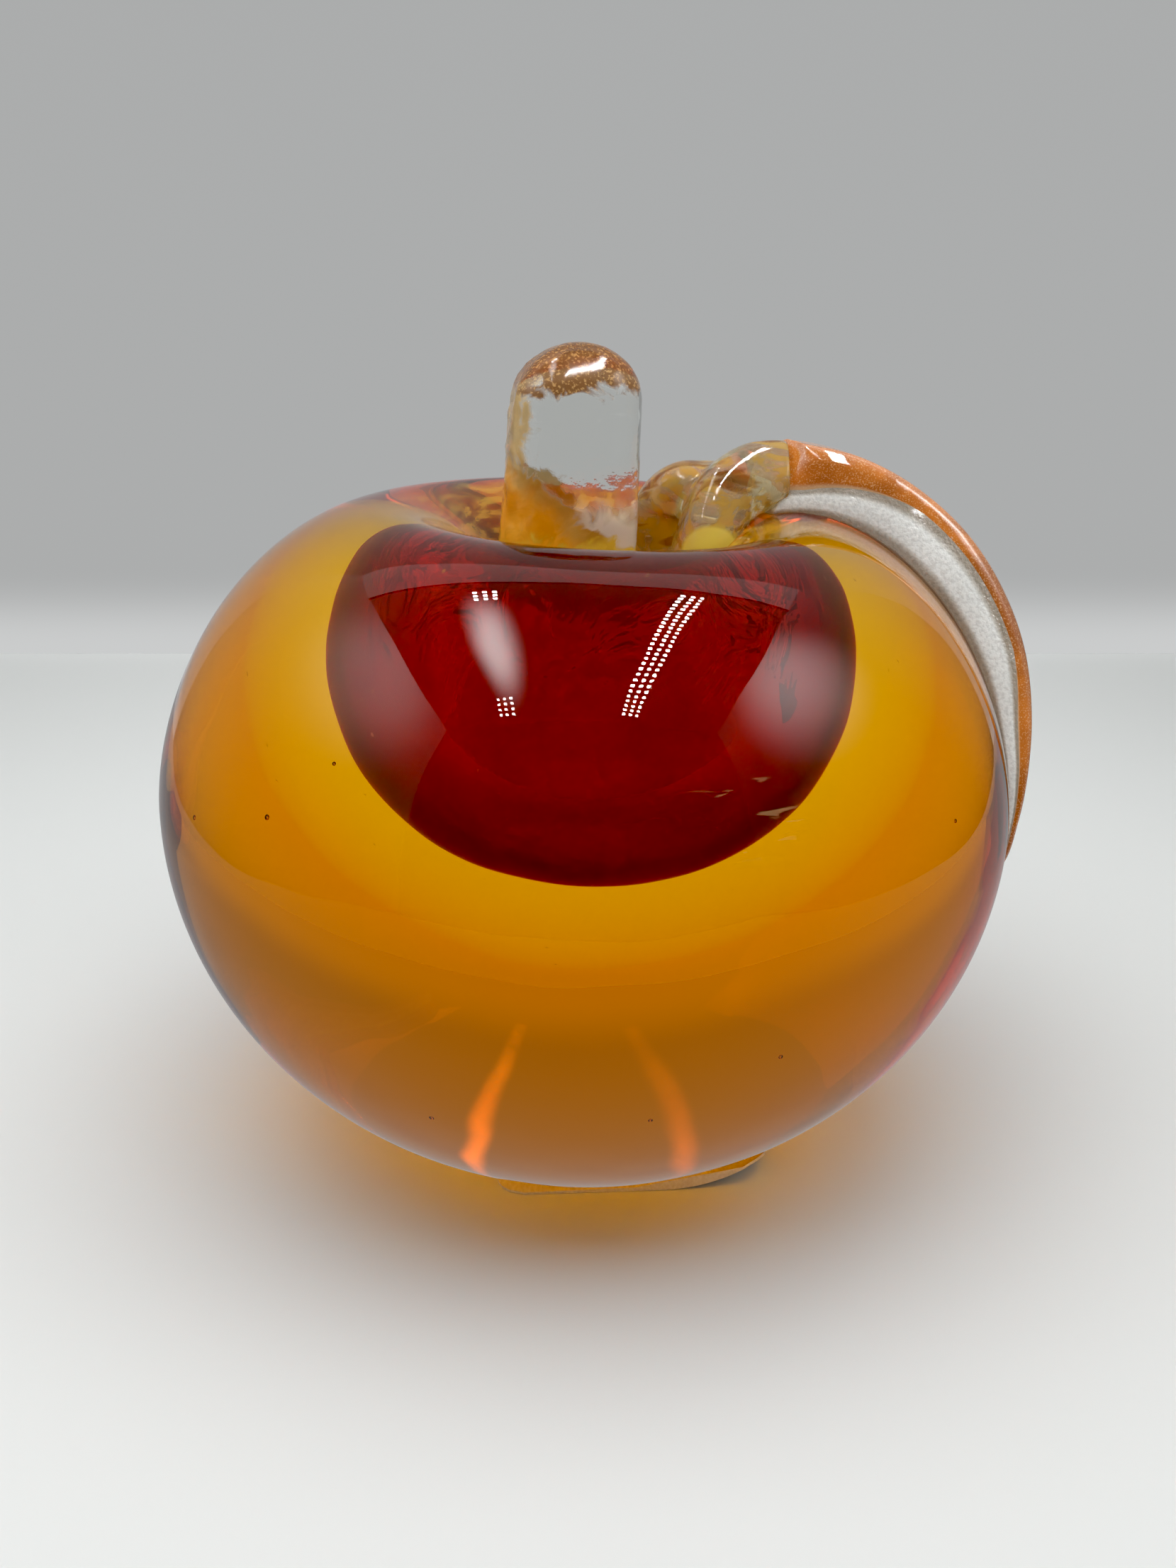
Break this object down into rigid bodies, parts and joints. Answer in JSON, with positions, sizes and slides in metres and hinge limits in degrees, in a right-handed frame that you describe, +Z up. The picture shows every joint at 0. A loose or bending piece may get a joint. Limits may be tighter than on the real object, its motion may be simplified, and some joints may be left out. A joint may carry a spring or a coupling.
{
  "type": "art glass apple paperweight",
  "caption": "Hollow cased glass apple with a red lining, clear gather, amber casing, clear stem, twisted petiole, draped leaf with a copper-flecked back, and a paper label under the flat base.",
  "frame": {"origin": "on the underside of the base label, below the middle of the apple", "axes": "+Z up along the apple, -Y towards the viewer of the picture, +X towards the leaf"},
  "size_m": [0.1305, 0.127, 0.119],
  "materials": {
    "amber_glass": "fire polished",
    "clear_glass": "fused inside the casing",
    "red_glass": "fused inside the gather",
    "stem_glass": "fire polished, faintly crazed",
    "petiole_glass": "fire polished",
    "leaf_clear_glass": "fire polished, finely pebbled",
    "copper_fleck_glass": "fire polished with copper flecks",
    "label_paper": "matte"
  },
  "bodies": {
    "root": {"amber_casing": "amber_glass", "clear_gather": "clear_glass", "red_lining": "red_glass", "stem": "stem_glass", "leaf_petiole": "petiole_glass", "leaf_blade": "leaf_clear_glass", "leaf_overlay": "copper_fleck_glass", "base_label": "label_paper"}
  },
  "joints": []
}
